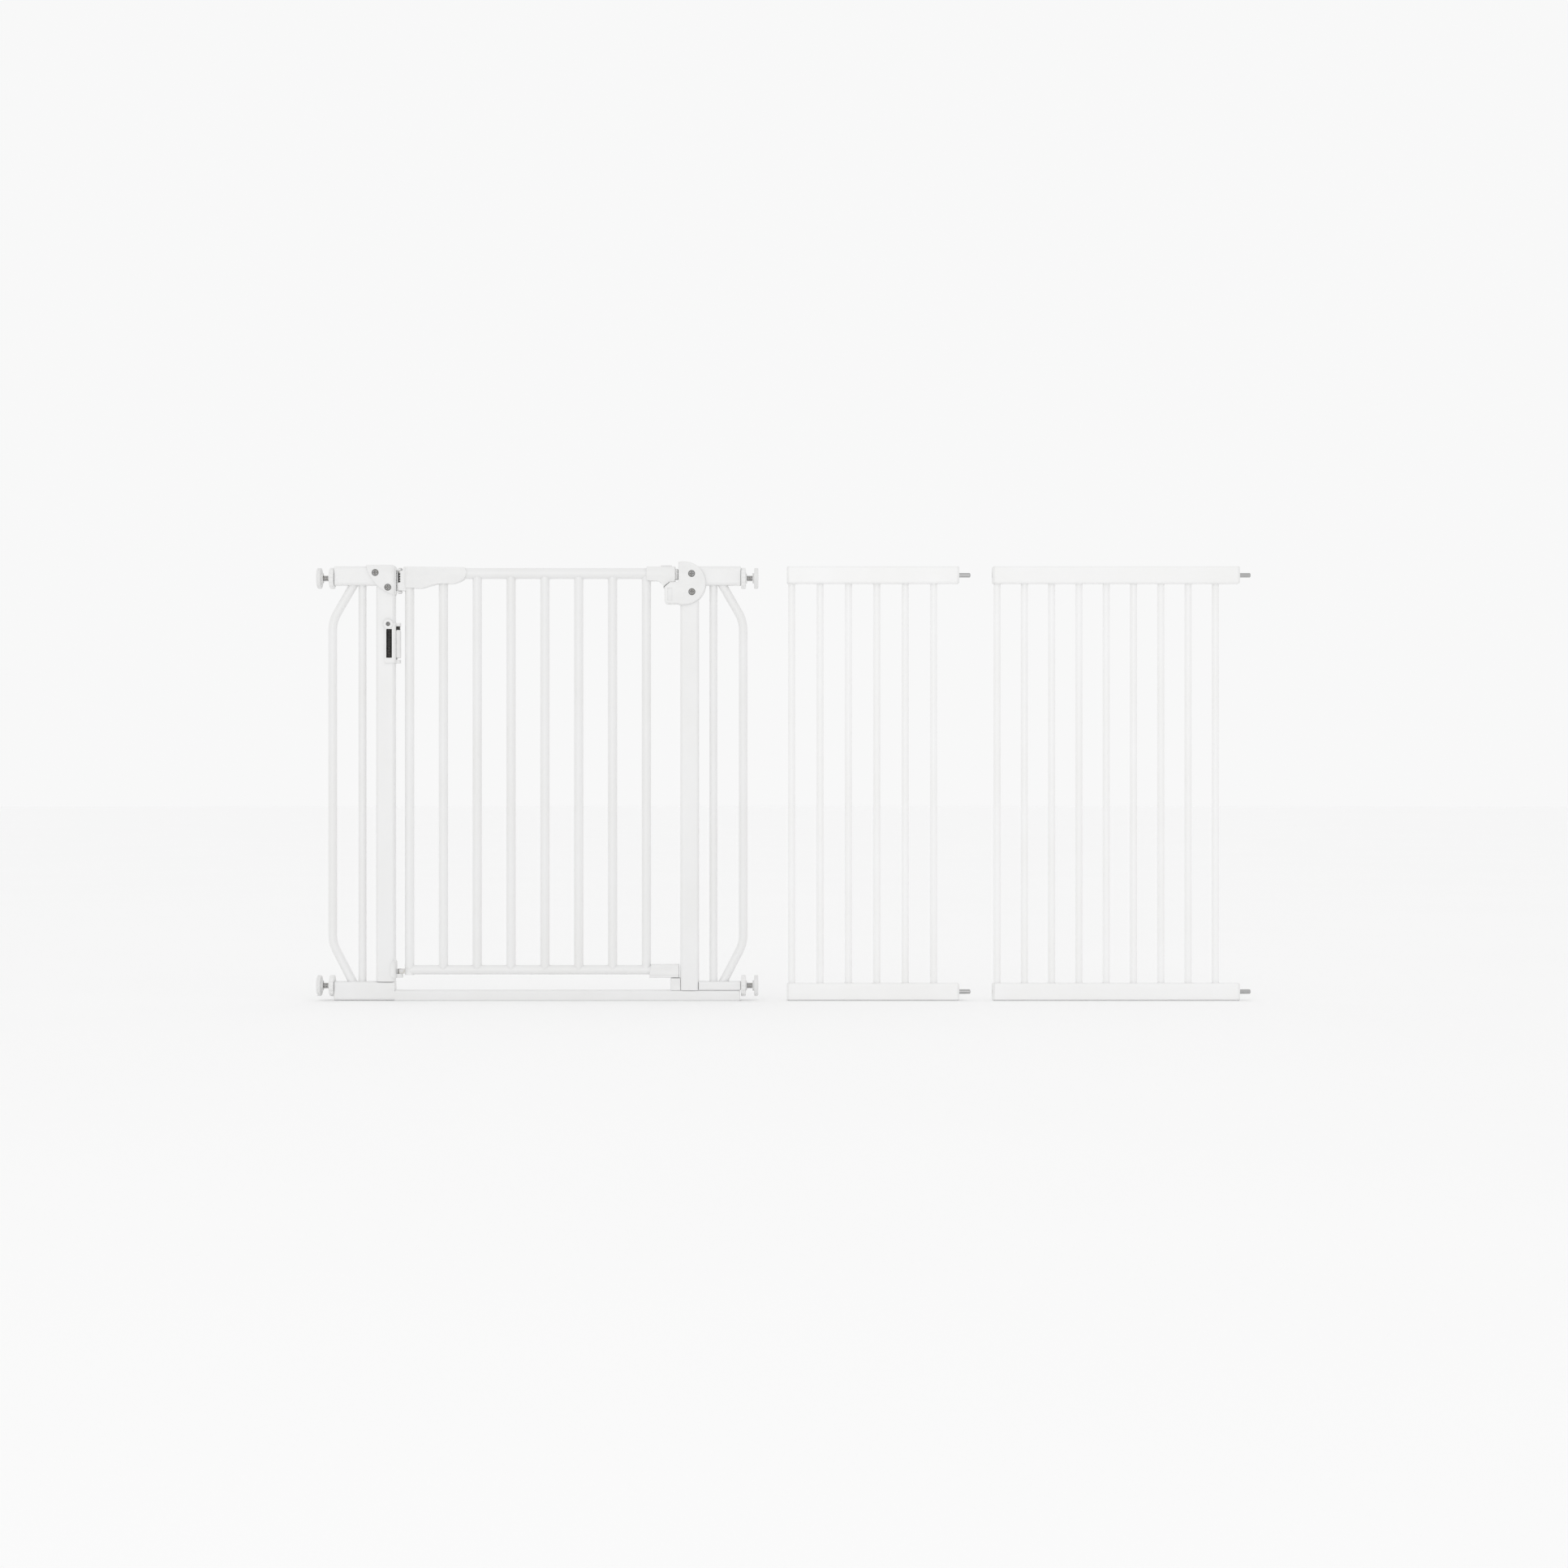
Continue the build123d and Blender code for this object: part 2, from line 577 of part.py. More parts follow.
def barrel_slot():
    """Opening in the inner side of the post and its bracket that the bar sinks into."""
    half = BARREL_RADIUS + FIT_GAP
    return box((BARREL_SLOT_X, -POST_INNER + WRAP_WALL), (-half, half), BARREL_SLOT_Z)


def closer_bracket():
    """Moulded housing of the hold-open unit, wrapped round the hinge post."""
    band = wrap(CLOSER_Z, CLOSER_LEFT_X) - barrel_slot()
    ledges = []
    for z_range in ((CLOSER_Z[0], BARREL_SLOT_Z[0]), (BARREL_SLOT_Z[1], CLOSER_Z[1])):
        reach = box((-POST_INNER + WRAP_WALL - 0.5, BARREL_X), (-BARREL_RADIUS, BARREL_RADIUS), z_range)
        nose = rod_z(z_range, BARREL_RADIUS, BARREL_X) & box((BARREL_X, 0), (-10, 10), z_range)
        ledges.append(reach + nose)
    boss = rod_y((CLOSER_FACE_Y, CLOSER_FACE_Y + 2.0), BOSS_RADIUS, BOSS_X, BOSS_Z)
    shape = band + boss + ledges - spring_window((-TUBE_DEPTH, 0))
    return shape - screw_holes([(BOSS_X, BOSS_Z)], CLOSER_FACE_Y, CLOSER_SCREW_HEAD)


def ringed_coil(z_range, turns, radius, x, y):
    """Close-wound coil, drawn as touching rings."""
    wire = (z_range[1] - z_range[0]) / turns
    coil = rod_z(z_range, radius, x, y)
    for turn in range(1, turns):
        groove = Torus(radius + 0.25, wire * 0.42)
        coil = coil - Pos(x, y, z_range[0] + turn * wire) * groove
    return coil


def closer_spring():
    """Long coil behind the window, and the short one above the bar."""
    short_z = (BARREL_Z[1] + FIT_GAP, BARREL_SLOT_Z[1])
    turns, radius = CLOSER_SPRING_TURNS, CLOSER_SPRING_RADIUS
    long_coil = ringed_coil(CLOSER_SPRING_Z, turns, radius, CLOSER_SPRING_X, CLOSER_SPRING_Y)
    short_coil = ringed_coil(short_z, BARREL_COIL_TURNS, BARREL_COIL_RADIUS, BARREL_X, 0.0)
    return [long_coil, short_coil]


def hold_open_barrel():
    """Rounded bar that the door's stile snaps past when it is fully open."""
    bar = rod_z(BARREL_Z, BARREL_RADIUS, BARREL_X)
    return fillet(bar.edges().filter_by(GeomType.CIRCLE), 2.0)


# ---------------------------------------------------------------- latch
def housing_outline():
    """Round boss with a box on the door's side."""
    low, high = HOUSING_BOX_Z
    boss = Pos(*HOUSING_CENTRE) * Circle(HOUSING_RADIUS)
    reach = HOUSING_CENTRE[0] + HOUSING_RADIUS
    middle = (HOUSING_FACE_X + reach) / 2
    boss = boss & Pos(middle, HOUSING_CENTRE[1]) * Rectangle(reach - HOUSING_FACE_X, 2 * HOUSING_RADIUS)
    shelf = make_face([
        Line((HOUSING_BOX_X + 5, low), (HOUSING_CENTRE[0], low)),
        Line((HOUSING_CENTRE[0], low), (HOUSING_CENTRE[0], high)),
        Line((HOUSING_CENTRE[0], high), (HOUSING_BOX_X + 9.5, high)),
        Line((HOUSING_BOX_X + 9.5, high), (HOUSING_BOX_X, high - 8.5)),
        Line((HOUSING_BOX_X, high - 8.5), (HOUSING_BOX_X, low + 5)),
        RadiusArc((HOUSING_BOX_X, low + 5), (HOUSING_BOX_X + 5, low), -5),
    ])
    return boss + shelf


def latch_housing():
    """Front half of the latch's receiver, which is clamped round the latch post."""
    low, high = HOUSING_BOX_Z
    shell = front_solid(housing_outline(), HOUSING_DEPTH)
    shell = fillet(shell.faces().sort_by(Axis.Y)[0].edges(), 2.5)
    shell = shell - post_outer(1) - arm_outer(1)
    hollow = box(
        (HOUSING_BOX_X + HOUSING_WALL, POST_INNER),
        (-HOUSING_DEPTH + HOUSING_WALL, 0),
        (low + HOUSING_WALL, high - HOUSING_WALL),
    )
    corner_cut = box(
        (HOUSING_BOX_X, HOUSING_BOX_X + 9.5 + HOUSING_WALL),
        (-HOUSING_DEPTH, 0),
        (high - 8.5 - HOUSING_WALL, high),
    )
    shell = shell - (hollow - corner_cut)
    groove = box((224.8, 233.0), (-HOUSING_DEPTH - 1, -HOUSING_DEPTH + 0.8), (690, 712))
    shell = shell - groove
    return largest(shell - box((HOUSING_FACE_X - 1, POST_INNER), (-9, 0), (726, 747)))


def latch_strike_plate():
    """Steel plate that faces the bolt."""
    plate = box((POST_INNER - 2.0, POST_INNER), (-8.5, 8.5), (726.5, 746.5))
    return fillet(plate.edges().filter_by(Axis.X), 2.0)


def bottom_catch():
    """Block on the threshold under the door's free corner."""
    block = box(CATCH_X, (-CATCH_HALF, CATCH_HALF), (THRESHOLD_HEIGHT, CATCH_TOP))
    block = fillet(block.edges().filter_by(Axis.Z).group_by(Axis.X)[0], 3.0)
    return fillet(block.faces().sort_by(Axis.Z)[-1].edges().sort_by(Axis.X)[0], 1.5)


def handle_outline():
    chamfer_x = HOUSING_BOX_X + 9.5
    low = HOUSING_BOX_Z[1] + HANDLE_GAP
    tip_x = HOUSING_BOX_X - 1.6
    return make_face([
        Line((HANDLE_LEFT_X, 726.8), (HANDLE_LEFT_X, HANDLE_TOP_Z)),
        Line((HANDLE_LEFT_X, HANDLE_TOP_Z), (HANDLE_RIGHT_X, HANDLE_TOP_Z)),
        Line((HANDLE_RIGHT_X, HANDLE_TOP_Z), (HANDLE_RIGHT_X, low)),
        Line((HANDLE_RIGHT_X, low), (chamfer_x - 0.8, low)),
        Line((chamfer_x - 0.8, low), (tip_x, low - 7.8)),
        Line((tip_x, low - 7.8), (tip_x, 712.4)),
        ThreePointArc((tip_x, 712.4), (213.4, 720.8), (206.5, 725.2)),
        Line((206.5, 725.2), (193.0, 725.2)),
        Line((193.0, 725.2), (HANDLE_LEFT_X, 726.8)),
    ])


def handle_front():
    """Front half of the door's handle; the bolt and its spring run inside."""
    shell = front_solid(handle_outline(), HANDLE_HALF)
    shell = fillet(shell.faces().sort_by(Axis.Y)[0].edges().sort_by(Axis.Z)[-1], 2.5)
    shell = shell - rod_x((150, TOP_RAIL_ENDS[1]), TOP_RAIL_RADIUS, z=TOP_RAIL_Z)
    shell = shell - door_uprights_outer()
    bolt_way = box(
        (TOP_RAIL_ENDS[1], HANDLE_RIGHT_X + 1),
        (-BOLT_HALF - FIT_GAP, 0),
        (BOLT_Z[0] - FIT_GAP, BOLT_Z[1] + FIT_GAP),
    )
    slot = box(
        (STEM_X[0] - BOLT_TRAVEL - FIT_GAP, STEM_X[1] + FIT_GAP),
        (-STEM_HALF - FIT_GAP, 0),
        (740, HANDLE_TOP_Z + 1),
    )
    return largest(shell - bolt_way - slot)


def latch_bolt():
    """Sprung bolt; its rear bore holds the spring."""
    bolt = box(BOLT_X, (-BOLT_HALF, BOLT_HALF), BOLT_Z)
    bolt = chamfer(bolt.faces().sort_by(Axis.X)[-1].edges(), 0.8)
    middle = (BOLT_Z[0] + BOLT_Z[1]) / 2
    return bolt - rod_x((BOLT_X[0], BOLT_X[0] + 16), 3.4, z=middle)


def bolt_spring():
    """Compression spring in the bolt's bore, drawn at its shortest length."""
    middle = (BOLT_Z[0] + BOLT_Z[1]) / 2
    path = Helix(BOLT_SPRING_PITCH, BOLT_SPRING_PITCH * BOLT_SPRING_TURNS, 2.4)
    start = Plane(origin=path @ 0, z_dir=path % 0)
    coil = sweep(start * Circle(0.45), path=path, is_frenet=True)
    return Pos(TOP_RAIL_ENDS[1] + 0.6, 0, middle) * Rot(0, 90, 0) * coil


def thumb_slider():
    """Ribbed button on top of the handle, with a stem down to the bolt."""
    top = HANDLE_TOP_Z + FIT_GAP
    plate = box(SLIDER_X, (-SLIDER_HALF, SLIDER_HALF), (top, top + SLIDER_HEIGHT))
    plate = fillet(plate.faces().sort_by(Axis.Z)[-1].edges(), 0.7)
    plate = plate + box(STEM_X, (-STEM_HALF, STEM_HALF), (BOLT_Z[1], top))
    for index in range(6):
        x = SLIDER_X[0] + 3 + index * 2.6
        plate = plate - rod_y((-4, 4), 0.7, x, top + SLIDER_HEIGHT)
    return plate


def door_shell_screws():
    """Small screws that close the sleeve and the handle from the back."""
    places = [(-205, 722), (-160, 724), (-140, 727.5), (212, 725.6)]
    screws = []
    for x, z in places:
        head_y = HANDLE_HALF
        head = rod_y((head_y, head_y + 1.2), SHELL_SCREW_HEAD, x, z)
        screws.append(fillet(head.edges().sort_by(Axis.Y)[-1], 0.6))
    return screws


# ---------------------------------------------------------------- door
def door_upright_places():
    return [STILE_X + BAR_PITCH * index for index in range(BAR_COUNT + 1)]


def door_uprights_outer():
    """Outer form of the stile and the bars, used to cut the covers."""
    z_range = (BOTTOM_RAIL_Z, TOP_RAIL_Z)
    return Part() + [rod_z(z_range, BAR_RADIUS, x) for x in door_upright_places()]


def door_upright(x, low=BOTTOM_RAIL_Z):
    """Round tube coped to the top and bottom rails."""
    z_range = (low, TOP_RAIL_Z)
    tube = rod_z(z_range, BAR_RADIUS, x) - rod_z(z_range, BAR_RADIUS - BAR_WALL, x)
    tube = tube - rod_x((TOP_RAIL_ENDS[0], x + 20), TOP_RAIL_RADIUS, z=TOP_RAIL_Z)
    tube = tube - rod_x((BOTTOM_RAIL_ENDS[0], x + 20), BOTTOM_RAIL_RADIUS, z=BOTTOM_RAIL_Z)
    return largest(tube)


def door_bars():
    return [door_upright(x) for x in door_upright_places()[1:]]


def door_rail(x_range, radius, wall, z):
    """Round tube with closed ends."""
    tube = rod_x(x_range, radius, z=z)
    tube = chamfer(tube.edges().filter_by(GeomType.CIRCLE), 0.8)
    return tube - rod_x((x_range[0] + wall, x_range[1] - wall), radius - wall, z=z)


def door_end_cap():
    """Moulded end of the bottom rail at the door's free corner."""
    left, right = END_CAP_X
    low, high = END_CAP_Z
    outline = make_face(Polyline(
        (left, high), (right, high), (right, low), (left - 4, low), (left, high),
    ))
    cap = front_solid(outline, 2 * END_CAP_HALF).moved(Pos(0, END_CAP_HALF, 0))
    cap = fillet(cap.edges().filter_by(Axis.X), 3.0)
    cap = cap - box((left - 10, right + 1), (-20, -END_CAP_HALF + 0.8), (low, low + 5))
    cap = cap - box((left - 10, right + 1), (END_CAP_HALF - 0.8, 20), (low, low + 5))
    return cap - rod_x((BOTTOM_RAIL_ENDS[0], BOTTOM_RAIL_ENDS[1]), BOTTOM_RAIL_RADIUS, z=BOTTOM_RAIL_Z)


# ---------------------------------------------------------------- extension panels
def panel_rail(panel, low):
    x_range = (PANEL_CAP_THICKNESS, panel["length"] - PANEL_CAP_THICKNESS)
    return tube_x(x_range, (low, low + PANEL_RAIL_HEIGHT), corner=PANEL_CORNER)


def panel_bars(panel):
    z_range = (PANEL_RAIL_HEIGHT, HEIGHT - PANEL_RAIL_HEIGHT)
    bars = []
    for index in range(panel["bars"]):
        x = FIRST_BAR_X + index * panel["pitch"]
        outer = rod_z(z_range, PANEL_BAR_RADIUS, x)
        bars.append(outer - rod_z(z_range, PANEL_BAR_RADIUS - PANEL_BAR_WALL, x))
    return bars


def panel_end_cap(low, bore_radius, bore_depth):
    """Moulded cap with a plug, for the left end of a rail, bored for a pin."""
    z_range = (low, low + PANEL_RAIL_HEIGHT)
    face = rounded_x((0, PANEL_CAP_THICKNESS), z_range, TUBE_DEPTH, PANEL_CORNER)
    face = fillet(face.faces().sort_by(Axis.X)[0].edges(), 2.5)
    inside = TUBE_WALL + 0.05
    plug = rounded_x(
        (PANEL_CAP_THICKNESS, PANEL_CAP_THICKNESS + PANEL_PLUG_LENGTH),
        (z_range[0] + inside, z_range[1] - inside),
        TUBE_DEPTH - 2 * inside,
        PANEL_CORNER - inside,
    )
    return face + plug - rod_x((0, bore_depth), bore_radius, z=low + PANEL_RAIL_HEIGHT / 2)


def panel_end_caps(panel):
    """Sockets at the left ends and pin holders at the right ends."""
    caps = []
    for low in (0, HEIGHT - PANEL_RAIL_HEIGHT):
        caps.append(panel_end_cap(low, PANEL_SOCKET_RADIUS, PANEL_SOCKET_DEPTH))
        holder = panel_end_cap(low, PANEL_SHANK_RADIUS, PANEL_SOCKET_DEPTH)
        caps.append(Pos(panel["length"], 0, 0) * mirror(holder, about=Plane.YZ))
    return caps


def panel_pins(panel):
    """Steel pins that join a panel to the next one; the shank in the holder is thicker."""
    end = panel["length"]
    pins = []
    for low in (0, HEIGHT - PANEL_RAIL_HEIGHT):
        z = low + PANEL_RAIL_HEIGHT / 2
        pin = rod_x((end, end + PANEL_PIN_REACH), PANEL_PIN_RADIUS, z=z)
        pin = chamfer(pin.edges().sort_by(Axis.X)[-1], 1.0)
        pins.append(pin + rod_x((end - PANEL_SOCKET_DEPTH, end), PANEL_SHANK_RADIUS, z=z))
    return pins


# ---------------------------------------------------------------- assembly
def gate_nodes():
    """Every node of the gate, in the gate's own frame."""
    left_hoop = side_hoop()
    cap = hinge_cap()
    housing = latch_housing()
    sleeve = hinge_sleeve()
    handle = handle_front()
    nodes = {
        "threshold_rail": threshold_rail(),
        "left_foot_rail": left_foot_rail(),
        "right_foot_rail": right_foot_rail(),
        "hinge_post": hinge_post(),
        "latch_post": latch_post(),
        "top_arms": top_arms(),
        "left_side_hoop": left_hoop,
        "right_side_hoop": mirror(left_hoop, about=Plane.YZ),
        "side_bars": side_bars(),
        "spindle_bushings": spindle_bushings(),
        "hinge_cap_front": cap - screw_holes(CAP_SCREWS, -CAP_HALF, SCREW_HEAD_RADIUS),
        "hinge_cap_back": back_of(cap),
        "upper_hinge_bracket": upper_hinge_bracket(),
        "hinge_pins": hinge_pins(),
        "hinge_torsion_spring": hinge_torsion_spring(),
        "lower_hinge_bracket": lower_hinge_bracket(),
        "closer_bracket": closer_bracket(),
        "closer_spring": closer_spring(),
        "latch_housing_front": housing - screw_holes(HOUSING_SCREWS, -HOUSING_DEPTH, SCREW_HEAD_RADIUS),
        "latch_housing_back": back_of(housing),
        "latch_strike_plate": latch_strike_plate(),
        "bottom_catch": bottom_catch(),
        "cross_head_screws": cross_head_screws(),
        "door_top_rail": door_rail(TOP_RAIL_ENDS, TOP_RAIL_RADIUS, TOP_RAIL_WALL, TOP_RAIL_Z),
        "door_bottom_rail": door_rail(BOTTOM_RAIL_ENDS, BOTTOM_RAIL_RADIUS, BAR_WALL, BOTTOM_RAIL_Z),
        "door_hinge_stile": door_upright(STILE_X, low=STILE_FOOT_Z),
        "door_bars": door_bars(),
        "door_hinge_eyes": door_hinge_eyes(),
        "hinge_sleeve_front": sleeve - knuckle_window(),
        "hinge_sleeve_back": back_of(sleeve),
        "handle_front": handle,
        "handle_back": back_of(handle),
        "door_shell_screws": door_shell_screws(),
        "door_end_cap": door_end_cap(),
        "bolt_spring": bolt_spring(),
        "thumb_slider": thumb_slider(),
        "latch_bolt": latch_bolt(),
        "hold_open_barrel": hold_open_barrel(),
    }
    for level, z in (("top", SPINDLE_TOP_Z), ("bottom", SPINDLE_LOW_Z)):
        for name, make in (("spindle", spindle), ("wall_pad", wall_pad), ("hand_wheel", hand_wheel)):
            piece = make(z)
            nodes[f"{name}_{level}_left"] = piece
            nodes[f"{name}_{level}_right"] = mirror(piece, about=Plane.YZ)
    return nodes


def panel_nodes(letter, panel):
    """Every node of one extension panel, in the panel's own frame."""
    return {
        f"panel_{letter}_top_rail": panel_rail(panel, HEIGHT - PANEL_RAIL_HEIGHT),
        f"panel_{letter}_bottom_rail": panel_rail(panel, 0),
        f"panel_{letter}_bars": panel_bars(panel),
        f"panel_{letter}_end_caps": panel_end_caps(panel),
        f"panel_{letter}_pins": panel_pins(panel),
    }


def write_nodes(nodes, shift_x):
    """Write one STEP file per node, moved along X into the row's frame."""
    for name, shape in nodes.items():
        pieces = shape if isinstance(shape, list) else [shape]
        solids = [solid for piece in pieces for solid in piece.solids()]
        placed = [solid.moved(Pos(shift_x, 0, 0)) for solid in solids]
        result = placed[0] if len(placed) == 1 else Compound(children=placed)
        export_step(result, f"parts/{name}.step")


def main():
    os.makedirs("parts", exist_ok=True)
    write_nodes(gate_nodes(), GATE_X)
    for letter, panel in PANELS.items():
        write_nodes(panel_nodes(letter, panel), panel["x"])


main()
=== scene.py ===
import json
import math

import bmesh
import bpy
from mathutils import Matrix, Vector


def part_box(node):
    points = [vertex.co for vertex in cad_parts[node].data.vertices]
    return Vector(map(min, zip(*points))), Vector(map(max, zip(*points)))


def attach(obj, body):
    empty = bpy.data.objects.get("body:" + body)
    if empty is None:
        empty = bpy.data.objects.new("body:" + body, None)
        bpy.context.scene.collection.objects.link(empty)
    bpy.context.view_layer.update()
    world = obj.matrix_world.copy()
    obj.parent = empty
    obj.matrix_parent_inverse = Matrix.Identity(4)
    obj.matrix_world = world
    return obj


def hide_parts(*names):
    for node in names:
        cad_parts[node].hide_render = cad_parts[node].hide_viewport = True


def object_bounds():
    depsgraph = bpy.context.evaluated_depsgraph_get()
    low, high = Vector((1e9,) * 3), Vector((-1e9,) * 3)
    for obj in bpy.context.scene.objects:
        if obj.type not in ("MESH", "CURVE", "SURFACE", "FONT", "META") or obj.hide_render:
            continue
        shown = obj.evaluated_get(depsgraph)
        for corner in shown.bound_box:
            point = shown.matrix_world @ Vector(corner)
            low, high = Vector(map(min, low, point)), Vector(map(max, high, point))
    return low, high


# Looks of a safety gate and its two extension panels.  Metres throughout.

MM = 0.001

# camera and light
CAMERA_DISTANCE = 4.5
CAMERA_HEIGHT = 0.374
FRAME_WIDTH = 2.712           # width that the camera sees at the object's middle plane
SENSOR_WIDTH = 36.0           # in mm, as Blender has it
WORLD_STRENGTH = 0.94
LIGHT_PLACE = (-1.2, -9.0, 1.4)
LIGHT_TARGET = (0, 0, 0.35)
LIGHT_SIZE = 5.0
LIGHT_POWER = 70.0            # in watts
FLOOR_RADIUS = 40.0
FLOOR_SIDES = 96

# turned and coiled pieces
SIDES = 72
SHARP_ANGLE = 40              # in degrees; flatter edges are shaded smooth
THREAD_PITCH = 2.0 * MM
THREAD_DEPTH = 0.9 * MM
THREAD_ROWS = 12              # rows of the mesh along one turn of the thread
CLOSE_WIRE = 0.98 * MM        # radius of the wire of the close-wound coils
WIRE_SIDES = 12
STEPS_PER_TURN = 36
BEAD_RADIUS = 0.7 * MM
BEAD_RIPPLES = 22
BEAD_SIDES = 10

# wall pads
PAD_DISC = 7.0 * MM           # thickness of the disc
PAD_RIM = 1.8 * MM
PAD_LINE = 0.35 * MM          # depth of the line round the disc's edge
PAD_FILLET = 1.0 * MM
PAD_HUB = 9.0 * MM            # radius of the hub
PAD_HUB_EDGE = 0.6 * MM
PAD_SOCKET_RADIUS = 5.0 * MM
PAD_SOCKET_DEPTH = 5.0 * MM
GRIP_GROOVES = 4
GRIP_START = 3.4 * MM         # radius of the innermost groove
GRIP_PITCH = 3.1 * MM
GRIP_WIDTH = 1.0 * MM
GRIP_DEPTH = 0.45 * MM

# hand wheels
WHEEL_LOBES = 12
WHEEL_NOTCH = 1.4 * MM
WHEEL_BORE = 5.08 * MM
WHEEL_BORE_EDGE = 0.4 * MM
WHEEL_HUB = 8.5 * MM          # radius of the hub
WHEEL_HUB_EDGE = 0.5 * MM
WHEEL_HUB_LENGTH = 2.0 * MM
WHEEL_DISH = 0.9 * MM         # how far the dished face lies behind the rim's front
WHEEL_FILLET = 0.8 * MM
WHEEL_LIP = 3.2 * MM          # width of the rim outside the dish
WHEEL_LIP_SLOPE = 1.0 * MM
WHEEL_RIM = 1.5 * MM
WHEEL_BACK_RING = 5.0 * MM    # width of the outer band of the back face

PLASTIC_TINT = (1.0, 0.999, 0.994)

CORNERS = [(level, side) for level in ("top", "bottom") for side in ("left", "right")]

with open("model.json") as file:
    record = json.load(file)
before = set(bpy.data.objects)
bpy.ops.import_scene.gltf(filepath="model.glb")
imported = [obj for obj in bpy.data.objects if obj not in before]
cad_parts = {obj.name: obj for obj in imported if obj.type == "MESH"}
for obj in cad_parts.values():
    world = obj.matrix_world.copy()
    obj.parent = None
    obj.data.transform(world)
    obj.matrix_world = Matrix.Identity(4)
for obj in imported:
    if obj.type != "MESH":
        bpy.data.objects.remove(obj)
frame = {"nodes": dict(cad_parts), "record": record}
cad_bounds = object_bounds()


# ---------------------------------------------------------------- node helpers
class Nodes:
    """Short way to build one material's node tree."""

    def __init__(self, name):
        self.material = bpy.data.materials.new(name)
        self.material.use_nodes = True
        self.tree = self.material.node_tree
        self.shader = self.tree.nodes["Principled BSDF"]
        self.place = self.add("ShaderNodeTexCoord").outputs["Object"]

    def add(self, kind, **inputs):
        node = self.tree.nodes.new(kind)
        for name, value in inputs.items():
            self.feed(node.inputs[name.replace("_", " ")], value)
        return node

    def feed(self, socket, value):
        if isinstance(value, bpy.types.NodeSocket):
            self.tree.links.new(value, socket)
        else:
            socket.default_value = value

    def noise(self, scale, detail=2.0, roughness=0.5, stretch=(1, 1, 1)):
        place = self.add("ShaderNodeMapping", Vector=self.place, Scale=stretch).outputs["Vector"]
        node = self.add("ShaderNodeTexNoise", Vector=place, Scale=scale, Detail=detail, Roughness=roughness)
        return node.outputs["Fac"]

    def grain(self, scale):
        node = self.add("ShaderNodeTexVoronoi", Vector=self.place, Scale=scale)
        node.feature = "SMOOTH_F1"
        return node.outputs["Distance"]

    def between(self, factor, low, high, start=0.35, end=0.65):
        """Number that runs from low to high as the factor runs from start to end."""
        node = self.add("ShaderNodeMapRange", Value=factor)
        for name, value in (("From Min", start), ("From Max", end), ("To Min", low), ("To Max", high)):
            node.inputs[name].default_value = value
        return node.outputs["Result"]

    def mix(self, factor, first, second):
        node = self.tree.nodes.new("ShaderNodeMix")
        node.data_type = "RGBA"
        colours = [socket for socket in node.inputs if socket.type == "RGBA"]
        self.feed(node.inputs[0], factor)
        self.feed(colours[0], first)
        self.feed(colours[1], second)
        return [socket for socket in node.outputs if socket.type == "RGBA"][0]

    def bump(self, height, distance, strength=1.0, normal=None):
        node = self.add("ShaderNodeBump", Height=height, Distance=distance, Strength=strength)
        if normal is not None:
            self.feed(node.inputs["Normal"], normal)
        return node.outputs["Normal"]

    def crevice(self, distance):
        """1 in the open, falling to 0 deep in a corner or a gap."""
        node = self.add("ShaderNodeAmbientOcclusion", Distance=distance)
        node.samples = 6
        return node.outputs["AO"]

    def shade_crevices(self, unshaded_colour, painted_shade_colour, distance, start):
        """Painted shade: the unshaded colour goes over to the shade colour in gaps about this wide."""
        depth = self.between(self.crevice(distance), 1.0, 0.0, start, 0.9)
        return self.mix(depth, unshaded_colour, painted_shade_colour)

    def finish(self, colour, roughness, normal, **steady):
        self.feed(self.shader.inputs["Base Color"], colour)
        self.feed(self.shader.inputs["Roughness"], roughness)
        self.feed(self.shader.inputs["Normal"], normal)
        for name, value in steady.items():
            self.shader.inputs[name.replace("_", " ")].default_value = value
        return self.material


def grey(value, tint=(1.0, 1.0, 1.0)):
    return (value * tint[0], value * tint[1], value * tint[2], 1.0)


# ---------------------------------------------------------------- materials
def powder_coat(name, value):
    """Satin white powder coat with a fine orange peel."""
    nodes = Nodes(name)
    cloud = nodes.noise(7.0, 3.0)
    unshaded_coat = nodes.mix(nodes.between(cloud, 0.0, 1.0), grey(value), grey(value * 0.975, (1.0, 0.998, 0.99)))
    # Painted shade: the coat goes greyer in gaps and corners about 6 mm across.
    coat_with_painted_shade = nodes.shade_crevices(unshaded_coat, grey(value * 0.90), 6 * MM, 0.25)
    peel = nodes.noise(620.0, 1.5)
    fine = nodes.noise(2600.0, 2.0)
    normal = nodes.bump(fine, 0.02 * MM, 0.5, nodes.bump(peel, 0.10 * MM, 0.6))
    roughness = nodes.between(nodes.noise(38.0, 4.0), 0.30, 0.42)
    return nodes.finish(coat_with_painted_shade, roughness, normal, Coat_Weight=0.12, Coat_Roughness=0.18)


